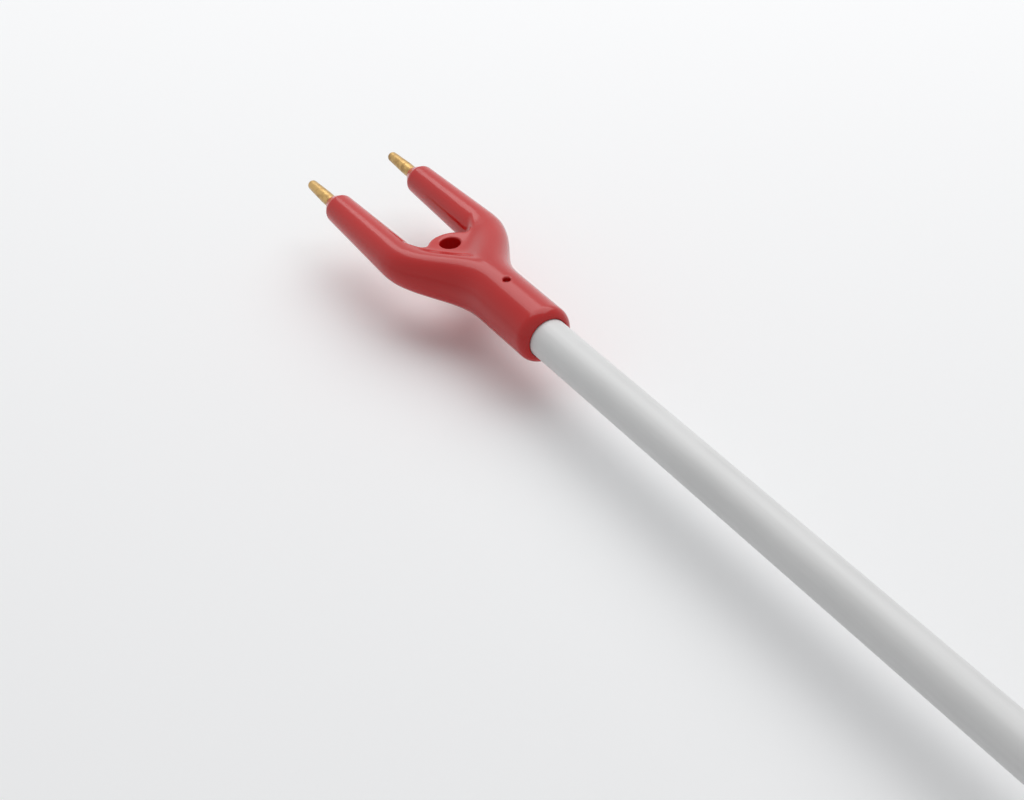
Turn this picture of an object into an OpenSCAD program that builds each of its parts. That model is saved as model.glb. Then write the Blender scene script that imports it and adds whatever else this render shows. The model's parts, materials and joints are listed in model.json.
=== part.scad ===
// Hand-held cattle prodder: a moulded fork with two electrodes on a long tube,
// and a two-shell handle that holds the cells, the pulse circuit and a thumb lever.
// X runs along the tube towards the electrodes, Y across the prongs, Z up.
// The origin lies under the middle of the length, on the surface the handle rests on.

/* [Shaft] */
// Outer diameter of the tube
shaft_d = 12; // [11:0.5:14]
// Wall of the tube
shaft_wall = 1.75; // [1.5:0.25:2]
// Bare length of tube between the handle and the fork
shaft_shown = 293.5; // [220:0.5:600]

/* [Fork] */
// Length from the collar to the prong noses
fork_l = 101.5; // [96:0.5:130]
// Wall of the barrel round the tube
barrel_wall = 2.6; // [2.2:0.1:4]
// Depth of the socket for the tube
socket_l = 27.5; // [23:0.5:28.5]
// Distance from the collar to the crotch
crotch_at = 55.5; // [53:0.5:60]
// Distance between the prong centres
prong_pitch = 29; // [27:0.5:36]
// Diameter of a prong where it leaves the crotch
prong_root_d = 12; // [11:0.1:13]
// Diameter of a prong behind its nose
prong_nose_d = 9.3; // [8:0.1:10.4]
// Thickness of the lug in the crotch
lug_t = 8.4; // [7:0.2:10]
// Diameter of the hole in the lug
lug_hole_d = 6.3; // [4:0.1:7]

/* [Electrodes] */
// Diameter of an electrode
electrode_d = 4; // [3:0.1:5]
// Length of an electrode outside its prong
electrode_out = 15; // [8:0.5:20]
// Length of an electrode inside its prong
electrode_in = 23.5; // [18:0.5:26]

/* [Handle] */
// Wall beside the cells
side_wall = 3.4; // [3:0.1:5]
// Room above and below the cells, where the screws run
screw_room = 7.2; // [7:0.1:9]
// Length of the bay for the pulse circuit
circuit_l = 82; // [80:1:100]
// Length of the nose that holds the ferrule
nose_l = 27; // [26:1:36]
// Length of the ferrule outside the nose
ferrule_out = 15; // [8:1:25]

/* [Cells] */
// Diameter of a cell
cell_d = 26.2; // [25:0.1:27]
// Length of a cell
cell_l = 50; // [45:0.5:60]

/* [Lever] */
// Length of the lever behind its pin
lever_l = 46; // [42:1:50]
// Width of the lever
lever_w = 11; // [9:0.5:11.5]
// Height of the lever above the handle
lever_rise = 4.2; // [3.5:0.1:6]

/* [Cap] */
// Length of the cap's skirt and end
cap_l = 27; // [25:0.5:32]
// Length of the hanging eye behind the cap
eye_l = 13; // [12:0.5:18]
// Diameter of the hole in the eye
eye_hole_d = 6; // [4:0.1:7]

/* [Hidden] */
$fn = 64;

// Colours of the finishes
red_plastic = "#b8232b";
white_tube = "#e8ebec";
brass = "#b8924c";
black_plastic = "#26282a";
steel = "#b4b8bb";
board_green = "#2f6b46";
capacitor_sleeve = "#3a4a78";
cell_jacket = "#8a7a5c";

// Clearances and the overrun of cuts
fit = 0.05;
play = 0.3;
over = 1;
// Step left where a round piece meets a lofted one
seam = 0.15;
// Depth to which joined shapes of one piece run into each other
bite = 0.8;

// Tube and leads
shaft_r = shaft_d / 2;
shaft_bore_r = shaft_r - shaft_wall;
lead_r = 1.1;
lead_play = 0.225;
ferrule_pin_r = 1;
lead_y = ferrule_pin_r + lead_play + lead_r;
lead_sides = 8;
plug_l = 8;

// Cell bay and shells, from the cells outwards
cell_count = 4;
cell_r = cell_d / 2;
cell_play = 0.5;
bay_r = cell_r + cell_play;
shell_w = bay_r + side_wall;
shell_h = bay_r + screw_room;
rest_cut = 1.2;
rest_z = shell_h - rest_cut;
spigot_wall = 3;
spigot_r = bay_r + spigot_wall;
cap_wall = 2.1;
cap_r = spigot_r + play + cap_wall;

// Places along X, from the end of the hanging eye
cap_end_wall = 3.5;
cup_t = 0.6;
cup_depth = 5;
strip_t = 0.5;
spring_room = 8.4;
bulkhead_t = 10;
x_cap = eye_l;
x_cup = x_cap + cap_end_wall;
x_strip = x_cup + cup_depth;
x_spigot = x_strip + strip_t;
x_cells = x_cup + cup_t + spring_room;
x_shell = x_cap + cap_l;
x_contact = x_cells + cell_count * cell_l;
x_bay_end = x_contact + strip_t;
x_circuit = x_bay_end + bulkhead_t;
x_circuit_end = x_circuit + circuit_l;
x_nose = x_circuit_end + nose_l;
x_shaft = x_circuit_end + play;
x_shown = x_nose + ferrule_out;
x_fork = x_shown + shaft_shown;
x_prong_nose = x_fork + fork_l;
overall_l = x_prong_nose + electrode_out;

// Fork
barrel_r = shaft_r + barrel_wall;
collar_round = 4;
collar_cut = 0.4;
collar_steps = 10;
collar_bend_at = collar_round - collar_cut;
barrel_short = 3;
barrel_l = socket_l - barrel_short;
spread_at = barrel_l;
spread_rest = 7.5;
spread_end = crotch_at + spread_rest;
prong_y = prong_pitch / 2;
prong_root_r = prong_root_d / 2;
prong_nose_r = prong_nose_d / 2;
nose_flat = 0.4;
nose_r = electrode_d / 2 + nose_flat;
nose_taper_l = 4.5;
nose_at = fork_l - nose_taper_l;
lug_inset = 2.1;
lug_at = crotch_at - lug_inset;
lug_rim = 2.95;
lug_front = lug_at + lug_hole_d / 2 + lug_rim;
lug_front_r = 7;
lug_back_l = 9;
lug_grip = 1.9;
lug_half_w = prong_y - prong_root_r + lug_grip;
lug_strip = 1;
notch_r = 1.8;
web_sink = 0.4;
web_h = lug_t / 2 - web_sink;
web_at = lug_at - lug_hole_d / 2;
dip_l = 14;
dip_at = web_at - dip_l;
fork_steps = 18;
prong_steps = 6;
prong_sides = 44;
arm_points = 10;
web_points = 5;
barrel_sweep = 55;
fork_pin_r = 1.2;
fork_pin_at = 21.2;
fork_pin_sink = 2.2;
chamber_r = shaft_bore_r + fit;
chamber_l = 5;
channel_r = 1.7;
channel_lag = 3;
channel_start = socket_l + channel_lag;
electrode_back = fork_l - electrode_in;
lead_end_l = 14;
channel_end = electrode_back - lead_end_l;

// Electrodes
electrode_r = electrode_d / 2;
electrode_tip_share = 0.8;
electrode_tip_r = electrode_r * electrode_tip_share;
electrode_straight_share = 0.3;

// Handle form
grip_power = 2.6;
rear_blend_l = 24;
nose_lead = 3;
nose_blend_l = nose_l + nose_lead;
waist = 0.7;
handle_nose_wall = 2.9;
rear_steps = 6;
grip_steps = 8;
nose_steps = 9;
handle_stations = [
    for (i = [0 : rear_steps - 1]) x_shell + rear_blend_l * i / rear_steps,
    for (i = [0 : grip_steps - 1]) mix(x_shell + rear_blend_l, x_nose - nose_blend_l, i / grip_steps),
    for (i = [0 : nose_steps]) x_nose - nose_blend_l * (1 - i / nose_steps)
];
handle_sides = 44;
groove_count = 11;
groove_r = 1.6;
groove_depth = 0.8;
groove_pitch = 10;
groove_first = x_shell + rear_blend_l + groove_pitch;

// Ferrule
ferrule_wall = 3;
ferrule_r = shaft_r + ferrule_wall;
ferrule_flange_h = 2;
ferrule_flange_r = ferrule_r + ferrule_flange_h;
ferrule_flange_t = 4;
ferrule_flange_setback = 9;
ferrule_flange_at = x_nose - ferrule_flange_setback;
ferrule_lip_h = 1.4;
ferrule_lip_r = ferrule_r + ferrule_lip_h;
ferrule_end_wall = 1.6;
ferrule_end_r = shaft_r + ferrule_end_wall;
ferrule_lip_t = 3;
ferrule_pin_setback = 15;
ferrule_pin_at = x_nose - ferrule_pin_setback;
handle_nose_r = ferrule_r + handle_nose_wall;

// Circuit bay
bay_step = 0.4;
bay_w = bay_r + bay_step;
bay_roof = 4.3;
bay_top = shell_h - bay_roof;
bay_round = 9;

// Screws of the shells
screw_r = 1.5;
screw_head_r = 2.7;
screw_head_h = 1.8;
screw_web = 1.2;
screw_seat_y = 5.5;
screw_tip_y = 9;
screw_cross_w = 0.9;
screw_cross_h = 1;
screw_z = bay_r + screw_web + screw_r;
nose_screw_web = 1.7;
nose_screw_z = ferrule_r + nose_screw_web + screw_r;
nose_screw_setback = 19;
screw_margin = 30;
x_screw_rear = x_shell + screw_margin;
x_screw_mid = (x_shell + x_bay_end + screw_margin) / 2;
x_screw_front = x_bay_end + bulkhead_t / 2;
screw_places = [
    for (x = [x_screw_rear, x_screw_mid, x_screw_front], side = [-1, 1]) [x, side * screw_z],
    for (side = [-1, 1]) [x_nose - nose_screw_setback, side * nose_screw_z]
];

// Thumb lever and its switch
pivot_r = 1.5;
pivot_hub_r = 4;
pivot_boss_r = 2.8;
pivot_boss_l = 3.4;
pivot_setback = 14;
x_pivot = x_circuit_end - pivot_setback;
pivot_drop = 5.3;
pivot_z = shell_h - pivot_drop;
pivot_half_l = 10.6;
lever_top = shell_h + lever_rise;
lever_drop = 3.5;
lever_under = bay_top - lever_drop;
lever_crown_r = 110;
lever_lip_l = 4;
lever_lip_t = 3;
lever_round = 2.6;
lever_gap = 1.4;
lever_side_gap = 0.5;
slot_w = lever_w + 2 * lever_side_gap;
lever_front_l = 9;
ridge_count = 6;
ridge_r = 0.7;
ridge_pitch = 3;
ridge_from = 6;
switch_lx = 12.8;
switch_ly = 5.8;
switch_lz = 6.5;
plunger_r = 1.2;
plunger_l = 4.5;
plunger_out = 1.9;
nib_r = 2;
switch_reach = 20;
x_switch = x_pivot - switch_reach;
spring_reach = 36;
x_lever_spring = x_pivot - spring_reach;
board_t = 1.6;
board_z = board_t / 2;
board_slot = 1.2;
board_gap = 0.2;
board_w = bay_w + board_slot - board_gap;
board_rear = 2;
board_front = 6;
nib_z = board_z + switch_lz + plunger_out + play + nib_r;

// Springs: wire radius, coil radii, turns
lever_spring_wire_r = 0.35;
lever_spring_r = 3.1;
lever_spring_turns = 6;
cap_spring_wire_r = 0.5;
cap_spring_wide_r = 9;
cap_spring_narrow_r = 5;
cap_spring_turns = 3;
curl_rings = 8;
wire_sides = 6;

// Circuit pieces: the transformer fills the bay in front of the capacitor
capacitor_r = 6;
capacitor_h = 13.2;
capacitor_lead = 18;
x_capacitor = x_circuit + capacitor_lead;
circuit_gap = 10;
x_transformer = x_capacitor + capacitor_r + circuit_gap;
transformer_setback = 12;
transformer_l = x_circuit_end - transformer_setback - x_transformer;
transformer_w = 18;
transformer_h = 14.5;
transformer_round = 2;
terminal_y = 5;
terminal_drop = 5.2;
terminal_z = -board_z - terminal_drop;

// Contacts
tab_l = 10;
tab_w = 8;
contact_r = 8;
strip_w = 6;
strip_y = bay_r + play;
strip_tab_w = 6;
strip_flange = 2.4;
nub_r = 3.3;
nub_l = 1.6;
cell_round = 1;
cup_rim = 1.4;
cup_r = strip_y + cup_rim;

// Cap
cap_round = 5;
flute_count = 18;
flute_r = 1.7;
flute_depth = 0.7;
flute_gap = 4;
eye_t = 7;
eye_rim = 3.6;
eye_r = eye_hole_d / 2 + eye_rim;
seal_r = 0.9;
seal_setback = 3.2;
seal_at = x_shell - seal_setback;
seal_sink = 0.95;

// Route of a lead: up from the transformer, along the tube, out to the electrode
lead_rise_steps = 6;
lead_bend = 2;
channel_slope = (prong_y - lead_y) / (channel_end - channel_start);
x_lead_low = x_transformer + transformer_l;
lead_route = [
    [x_lead_low, terminal_y, terminal_z],
    for (i = [0 : lead_rise_steps])
        let (t = i / lead_rise_steps, u = ease(t))
            [mix(x_lead_low + lead_bend, x_shaft, t), mix(terminal_y, lead_y, u), mix(terminal_z, 0, u)],
    [x_fork + channel_start - lead_bend / 2, lead_y, 0],
    [x_fork + channel_start + lead_bend, lead_y + channel_slope * lead_bend, 0],
    [x_fork + channel_end - lead_bend, prong_y - channel_slope * lead_bend, 0],
    [x_fork + channel_end + lead_bend, prong_y, 0],
    [x_fork + electrode_back, prong_y, 0]
];

function mix(a, b, t) = a + (b - a) * t;
function clamp01(t) = max(0, min(1, t));
function ease(t) = let (u = clamp01(t)) u * u * (3 - 2 * u);
function soft_ease(t) = let (u = clamp01(t)) u * u * u * (10 - u * (15 - 6 * u));

// Solid through a list of rings that have the same, even number of points; strips close its ends
module loft(rings) {
    n = len(rings[0]);
    half = n / 2;
    last = len(rings) - 1;
    points = [for (ring = rings) each ring];
    sides = [
        for (i = [0 : last - 1])
            for (j = [0 : n - 1])
                let (k = (j + 1) % n, a = i * n + j, b = i * n + k, c = a + n, d = b + n)
                    each [[a, d, b], [a, c, d]]
    ];
    start_cap = [
        [0, 1, n - 1],
        for (j = [1 : half - 2]) [j, j + 1, n - j - 1, n - j],
        [half - 1, half, half + 1]
    ];
    end_cap = [for (strip = start_cap) [for (j = [len(strip) - 1 : -1 : 0]) last * n + strip[j]]];
    polyhedron(points = points, faces = concat(sides, start_cap, end_cap), convexity = 8);
}

// Cylinder along X from x1 to x2, or a cone
module bar_x(x1, x2, r, r2 = undef) {
    translate([x1, 0, 0]) rotate([0, 90, 0]) cylinder(h = x2 - x1, r1 = r, r2 = is_undef(r2) ? r : r2);
}

// Ring round X between two radii
module tube_x(x1, x2, r_in, r_out) {
    difference() {
        bar_x(x1, x2, r_out);
        bar_x(x1 - over, x2 + over, r_in);
    }
}

// Cylinder along Y through (x, z)
module bar_y(x, z, y1, y2, r) {
    translate([x, y1, z]) rotate([-90, 0, 0]) cylinder(h = y2 - y1, r = r);
}

// Box between two corners
module box(low, high) {
    translate(low) cube(high - low);
}

// Profile in the XZ plane, extruded over a width centred on Y
module side_plate(width) {
    rotate([90, 0, 0]) linear_extrude(height = width, center = true) children();
}

// Puts the model over its rest surface
module place() {
    translate([-overall_l / 2, 0, rest_z]) children();
}

// Fork: half distance of the arms, their radius and the height of the web
function spread(s) = soft_ease((s - spread_at) / (spread_end - spread_at));
function arm_y(s) = prong_y * spread(s);
function arm_r(s) = mix(barrel_r - seam, prong_root_r, spread(s));
function web(s) = mix(arm_r(s), web_h, soft_ease((s - dip_at) / dip_l));
function arm_height(s, y) =
    y > arm_y(s)
        ? sqrt(max(0, arm_r(s) * arm_r(s) - (y - arm_y(s)) * (y - arm_y(s))))
        : mix(web(s), arm_r(s), arm_y(s) > 0 ? ease(y / arm_y(s)) : 1);
// Half widths of a quarter ring, round the arm and then over the web to the middle
function arm_sweep(s) = mix(barrel_sweep, 90, spread(s));
function quarter_ring(s) = [
    for (i = [0 : arm_points]) arm_y(s) + arm_r(s) * cos(arm_sweep(s) * i / arm_points),
    for (i = [1 : web_points])
        (arm_y(s) + arm_r(s) * cos(arm_sweep(s))) * (1 - i / web_points)
];
function fork_ring(s) = let (ys = quarter_ring(s), n = len(ys) - 1) [
    for (quarter = [0 : 3], i = [0 : n - 1])
        let (y = ys[quarter % 2 == 0 ? i : n - i], up = quarter < 2 ? 1 : -1)
            [x_fork + s, (quarter % 3 == 0 ? 1 : -1) * y, up * arm_height(s, y)]
];

module fork_arms() {
    start = barrel_l - bite;
    loft([for (i = [0 : fork_steps]) fork_ring(mix(start, crotch_at, i / fork_steps))]);
}

module fork_barrel() {
    first = -asin(collar_bend_at / collar_round);
    collar = [
        for (i = [0 : collar_steps])
            let (a = first * (1 - i / collar_steps))
                [barrel_r - collar_round * (1 - cos(a)), collar_bend_at + collar_round * sin(a)]
    ];
    translate([x_fork, 0, 0]) rotate([0, 90, 0]) rotate_extrude()
        polygon(concat([[0, 0]], collar, [[barrel_r, barrel_l], [0, barrel_l]]));
}

// Prong: it leaves the web inside the arm and tapers to its nose
function prong_r(s) = mix(arm_r(s) - seam, prong_nose_r, clamp01((s - crotch_at) / (nose_at - crotch_at)));
function prong_ring(s, r, side) = [
    for (j = [0 : prong_sides - 1])
        let (a = 360 * j / prong_sides) [x_fork + s, side * arm_y(s) + r * cos(a), r * sin(a)]
];

module fork_prong(side) {
    start = crotch_at - bite;
    loft([
        for (i = [0 : prong_steps])
            let (s = mix(start, spread_end, i / prong_steps)) prong_ring(s, prong_r(s), side),
        prong_ring(nose_at, prong_nose_r, side),
        prong_ring(fork_l, nose_r, side)
    ]);
}

// Lug: a round eye in front of the web, with a hollow round between it and each prong
module fork_lug() {
    back = crotch_at - lug_back_l;
    half_w = lug_half_w + lug_strip;
    translate([x_fork, 0, 0]) linear_extrude(height = lug_t, center = true)
        offset(r = -notch_r) offset(delta = notch_r) union() {
            translate([lug_front - lug_front_r, 0]) circle(lug_front_r);
            translate([back, -half_w]) square([lug_back_l, 2 * half_w]);
            for (side = [0, 1]) mirror([0, side])
                translate([back, lug_half_w]) square([lug_back_l + notch_r, lug_strip]);
        }
}

// Straight channel for one lead, from the tube to the prong
module lead_channel(side) {
    dx = channel_end - channel_start;
    dy = prong_y - lead_y;
    translate([x_fork + channel_start, side * lead_y, 0]) rotate([0, 0, side * atan2(dy, dx)])
        bar_x(0, norm([dx, dy]), channel_r);
}

module fork_body() {
    color(red_plastic) difference() {
        union() {
            fork_barrel();
            fork_arms();
            fork_lug();
            for (side = [-1, 1]) fork_prong(side);
        }
        bar_x(x_fork - over, x_fork + socket_l, shaft_r + fit);
        bar_x(x_fork + socket_l - over, x_fork + socket_l + chamber_l, chamber_r);
        for (side = [-1, 1]) {
            lead_channel(side);
            translate([0, side * prong_y, 0])
                bar_x(x_fork + channel_end - bite, x_prong_nose + over, electrode_r + fit);
        }
        translate([x_fork + lug_at, 0, -lug_t]) cylinder(h = 2 * lug_t, r = lug_hole_d / 2);
        translate([x_fork + fork_pin_at, 0, 0]) cylinder(h = barrel_r + over, r = fork_pin_r + fit);
    }
}

module electrode(side) {
    straight = electrode_out * electrode_straight_share;
    color(brass) translate([0, side * prong_y, 0]) union() {
        bar_x(x_fork + electrode_back, x_prong_nose + straight, electrode_r);
        bar_x(x_prong_nose + straight, overall_l - electrode_tip_r, electrode_r, electrode_tip_r);
        translate([overall_l - electrode_tip_r, 0, 0]) sphere(electrode_tip_r);
    }
}

module electrode_left() { electrode(1); }

module electrode_right() { electrode(-1); }

module fork_pin() {
    top = barrel_r - fork_pin_sink;
    color(steel) translate([x_fork + fork_pin_at, 0, shaft_bore_r + fit])
        cylinder(h = top - shaft_bore_r - fit, r = fork_pin_r);
}

module shaft_tube() {
    color(white_tube) difference() {
        tube_x(x_shaft, x_fork + socket_l, shaft_bore_r, shaft_r);
        translate([x_fork + fork_pin_at, 0, 0]) cylinder(h = shaft_d, r = fork_pin_r + fit);
        translate([ferrule_pin_at, 0, -shaft_d]) cylinder(h = 2 * shaft_d, r = ferrule_pin_r + fit);
    }
}

module shaft_plug() {
    color(black_plastic) difference() {
        bar_x(x_fork + socket_l - plug_l, x_fork + socket_l, shaft_bore_r - fit);
        for (side = [-1, 1]) translate([0, side * lead_y, 0])
            bar_x(x_fork + socket_l - plug_l - over, x_fork + socket_l + over, lead_r + play / 2);
    }
}

module lead(side) {
    color(side > 0 ? red_plastic : black_plastic) loft([
        for (p = lead_route) [
            for (j = [0 : lead_sides - 1])
                let (a = 360 * j / lead_sides)
                    [p[0], side * p[1] + lead_r * cos(a), p[2] + lead_r * sin(a)]
        ]
    ]);
}

module lead_left() { lead(1); }

module lead_right() { lead(-1); }

module shaft_ferrule() {
    color(black_plastic) difference() {
        union() {
            bar_x(x_shaft, x_nose + bite, ferrule_r);
            bar_x(ferrule_flange_at - ferrule_flange_t / 2, ferrule_flange_at + ferrule_flange_t / 2,
                ferrule_flange_r);
            bar_x(x_nose, x_nose + ferrule_lip_t, ferrule_lip_r);
            bar_x(x_nose + ferrule_lip_t - fit, x_shown, ferrule_lip_r, ferrule_end_r);
        }
        bar_x(x_shaft - over, x_shown + over, shaft_r + fit);
        translate([ferrule_pin_at, 0, -ferrule_r - over])
            cylinder(h = 2 * (ferrule_r + over), r = ferrule_pin_r + fit);
    }
}

module ferrule_pin() {
    half = ferrule_r - fit;
    color(steel) translate([ferrule_pin_at, 0, -half]) cylinder(h = 2 * half, r = ferrule_pin_r);
}

// Handle: half width, half height and squareness of its section along X
function rear(x) = ease((x - x_shell) / rear_blend_l);
function nose(x) = ease((x - x_nose + nose_blend_l) / nose_blend_l);
function hollow(x) = waist * pow(sin(180 * clamp01((x - x_shell) / (x_circuit - x_shell))), 2);
function section_w(x) = mix(mix(cap_r, shell_w, rear(x)), handle_nose_r, nose(x)) - hollow(x);
function section_h(x) = mix(mix(cap_r, shell_h, rear(x)), handle_nose_r, nose(x));
function section_power(x) = mix(mix(2, grip_power, rear(x)), 2, nose(x));
function power_of(v, p) = sign(v) * pow(abs(v), p);
function handle_ring(x) = [
    for (j = [0 : handle_sides - 1])
        let (a = 360 * (j + 0.5) / handle_sides, p = 2 / section_power(x))
            [x, section_w(x) * power_of(cos(a), p), section_h(x) * power_of(sin(a), p)]
];

module shell_outside() {
    loft([for (x = handle_stations) handle_ring(x)]);
    bar_x(x_spigot, x_shell + bite, spigot_r);
}

// Rounded section of the circuit bay
module circuit_bay() {
    translate([x_circuit, 0, 0]) rotate([90, 0, 90]) linear_extrude(height = circuit_l) union() {
        square([2 * (bay_w - bay_round), 2 * bay_top], center = true);
        square([2 * bay_w, 2 * (bay_top - bay_round)], center = true);
        for (sy = [-1, 1], sz = [-1, 1])
            translate([sy * (bay_w - bay_round), sz * (bay_top - bay_round)]) circle(bay_round);
    }
}

// What is taken out of both shells
module shell_hollows() {
    bar_x(x_spigot - over, x_bay_end, bay_r);
    circuit_bay();
    bar_x(x_circuit_end - over, x_nose + over, ferrule_r + fit);
    bar_x(ferrule_flange_at - ferrule_flange_t / 2 - fit, ferrule_flange_at + ferrule_flange_t / 2 + fit,
        ferrule_flange_r + fit);
    box([x_circuit + board_rear - board_gap, -board_w - board_gap, -board_z - fit],
        [x_circuit_end - board_front + board_gap, board_w + board_gap, board_z + fit]);
    box([x_bay_end - over, -tab_w / 2 - board_gap, board_z - fit],
        [x_circuit + over, tab_w / 2 + board_gap, board_z + strip_t + fit]);
    box([x_pivot - lever_l - lever_gap, -slot_w / 2, bay_top - over],
        [x_pivot + pivot_hub_r + lever_gap, slot_w / 2, shell_h + over]);
    rotate([0, 90, 0]) rotate_extrude() translate([spigot_r - seal_sink - seal_r, seal_at - seal_r - fit])
        square([2 * spigot_wall, 2 * (seal_r + fit)]);
    for (i = [0 : groove_count - 1], side = [-1, 1])
        let (x = groove_first + i * groove_pitch)
            translate([x, side * (section_w(x) + groove_r - groove_depth), -shell_h])
                cylinder(h = 2 * shell_h, r = groove_r);
    box([x_spigot - over, -shell_w - over, -shell_h - over], [x_nose + over, shell_w + over, -rest_z]);
}

// One shell: side 1 takes the screw heads, side -1 their threads
module shell(side) {
    difference() {
        union() {
            difference() {
                intersection() {
                    shell_outside();
                    translate([0, side > 0 ? 0 : -2 * shell_h, -2 * shell_h])
                        cube([x_nose + over, 2 * shell_h, 4 * shell_h]);
                }
                shell_hollows();
            }
            bar_y(x_pivot, pivot_z, side > 0 ? slot_w / 2 : -slot_w / 2 - pivot_boss_l,
                side > 0 ? slot_w / 2 + pivot_boss_l : -slot_w / 2, pivot_boss_r);
        }
        bar_y(x_pivot, pivot_z, -pivot_half_l - fit, pivot_half_l + fit, pivot_r + fit);
        for (p = screw_places) {
            bar_y(p[0], p[1], -screw_tip_y - fit, screw_seat_y + over, screw_r + fit);
            bar_y(p[0], p[1], screw_seat_y, shell_w + over, screw_head_r + board_gap);
        }
    }
}

module handle_left() {
    color(red_plastic) difference() {
        shell(1);
        box([x_spigot - over, bay_r - over, -strip_w / 2 - board_gap],
            [x_circuit + board_rear, strip_y + strip_t + fit, strip_w / 2 + board_gap]);
    }
}

module handle_right() {
    color(red_plastic) shell(-1);
}

module handle_screw() {
    difference() {
        union() {
            bar_y(0, 0, -screw_tip_y, screw_seat_y + fit, screw_r);
            bar_y(0, 0, screw_seat_y, screw_seat_y + screw_head_h, screw_head_r);
        }
        for (turn = [0, 90]) rotate([0, turn, 0])
            box([-screw_head_r / 2, screw_seat_y + screw_head_h - screw_cross_h, -screw_cross_w / 2],
                [screw_head_r / 2, screw_seat_y + screw_head_h + over, screw_cross_w / 2]);
    }
}

module handle_screws() {
    color(steel) for (p = screw_places) translate([p[0], 0, p[1]]) handle_screw();
}

// Side view of the lever, in X and Z
module lever_profile() {
    rear_x = x_pivot - lever_l;
    front_x = x_pivot - lever_front_l;
    crown_x = (rear_x + front_x) / 2;
    intersection() {
        translate([rear_x, lever_under]) square([lever_l - lever_front_l, lever_top - lever_under]);
        translate([crown_x, lever_top - lever_crown_r]) circle(lever_crown_r, $fn = 256);
    }
    polygon([
        [front_x - bite, lever_under],
        [x_pivot, lever_under],
        [x_pivot + pivot_hub_r * sin(30), pivot_z + pivot_hub_r * cos(30)],
        [front_x - bite, lever_top - lever_round]
    ]);
    translate([x_pivot, pivot_z]) circle(pivot_hub_r);
    translate([rear_x - lever_lip_l, lever_under]) square([lever_lip_l + bite, lever_lip_t]);
    translate([x_switch - nib_r, nib_z]) square([2 * nib_r, lever_under - nib_z + bite]);
    translate([x_switch, nib_z]) circle(nib_r);
    for (i = [0 : ridge_count - 1])
        let (x = rear_x + ridge_from + i * ridge_pitch, drop = pow(x - crown_x, 2) / (2 * lever_crown_r))
            translate([x, lever_top - drop]) circle(ridge_r);
}

// End view of the lever, with rounded upper edges
module lever_section() {
    flat_w = lever_w - 2 * lever_round;
    top = lever_top + ridge_r;
    translate([-lever_w / 2, 0]) square([lever_w, top - lever_round]);
    translate([-flat_w / 2, 0]) square([flat_w, top]);
    for (side = [-1, 1]) translate([side * flat_w / 2, top - lever_round]) circle(lever_round);
}

module thumb_lever() {
    color(black_plastic) difference() {
        intersection() {
            side_plate(lever_w) lever_profile();
            translate([x_pivot - 2 * lever_l, 0, 0]) rotate([90, 0, 90])
                linear_extrude(height = 3 * lever_l) lever_section();
        }
        bar_y(x_pivot, pivot_z, -lever_w, lever_w, pivot_r + fit);
    }
}

module lever_pin() {
    color(steel) bar_y(x_pivot, pivot_z, -pivot_half_l, pivot_half_l, pivot_r);
}

// Ring of a coil's wire at t turns, in the coil's own frame along Z
function curl_ring(t, z, r, wire) = [
    for (j = [0 : wire_sides - 1])
        let (a = 360 * j / wire_sides, d = r + wire * cos(a))
            [d * cos(360 * t), d * sin(360 * t), z - wire * sin(a)]
];

// Coil of wire along Z; it prints the least gap between one turn and the next
module coil(length, r1, r2, wire, turns) {
    steps = turns * curl_rings;
    heights = [for (i = [0 : steps]) mix(wire, length - wire, i / steps)];
    radii = [for (i = [0 : steps]) mix(r1, r2, i / steps)];
    gaps = [
        for (i = [curl_rings : steps])
            norm([radii[i], heights[i]] - [radii[i - curl_rings], heights[i - curl_rings]]) - 2 * wire
    ];
    loft([for (i = [0 : steps]) curl_ring(i / curl_rings, heights[i], radii[i], wire)]);
    echo(coil_gap = min(gaps));
}

module lever_spring() {
    length = lever_under - board_z - play;
    color(steel) translate([x_lever_spring, 0, board_z + fit])
        coil(length, lever_spring_r, lever_spring_r, lever_spring_wire_r, lever_spring_turns);
}

module switch_body() {
    color(black_plastic) difference() {
        box([x_switch - switch_lx / 2, -switch_ly / 2, board_z],
            [x_switch + switch_lx / 2, switch_ly / 2, board_z + switch_lz]);
        translate([x_switch, 0, board_z + switch_lz + plunger_out - 2 * plunger_l + over])
            cylinder(h = 2 * plunger_l, r = plunger_r + fit);
    }
}

module switch_plunger() {
    color(red_plastic) translate([x_switch, 0, board_z + switch_lz + plunger_out - plunger_l])
        cylinder(h = plunger_l, r = plunger_r);
}

module circuit_board() {
    color(board_green) box([x_circuit + board_rear, -board_w, -board_z],
        [x_circuit_end - board_front, board_w, board_z]);
}

module transformer() {
    half = transformer_w / 2 - transformer_round;
    color(black_plastic) translate([x_transformer, 0, -board_z - transformer_h]) union() {
        translate([0, -transformer_w / 2, transformer_round])
            cube([transformer_l, transformer_w, transformer_h - transformer_round]);
        translate([0, -half, 0]) cube([transformer_l, 2 * half, transformer_h]);
        for (side = [-1, 1]) translate([0, side * half, transformer_round])
            bar_x(0, transformer_l, transformer_round);
    }
}

module capacitor() {
    color(capacitor_sleeve) translate([x_capacitor, 0, -board_z - capacitor_h])
        cylinder(h = capacitor_h, r = capacitor_r);
}

module cell(index) {
    start = x_cells + index * cell_l;
    body_l = cell_l - nub_l;
    color(cell_jacket) union() {
        bar_x(start, start + cell_round, cell_r - cell_round, cell_r);
        bar_x(start + cell_round, start + body_l - cell_round, cell_r);
        bar_x(start + body_l - cell_round, start + body_l, cell_r, cell_r - cell_round);
        bar_x(start + body_l - bite, start + cell_l, nub_r);
    }
}

module cell_1() { cell(0); }

module cell_2() { cell(1); }

module cell_3() { cell(2); }

module cell_4() { cell(3); }

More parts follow.
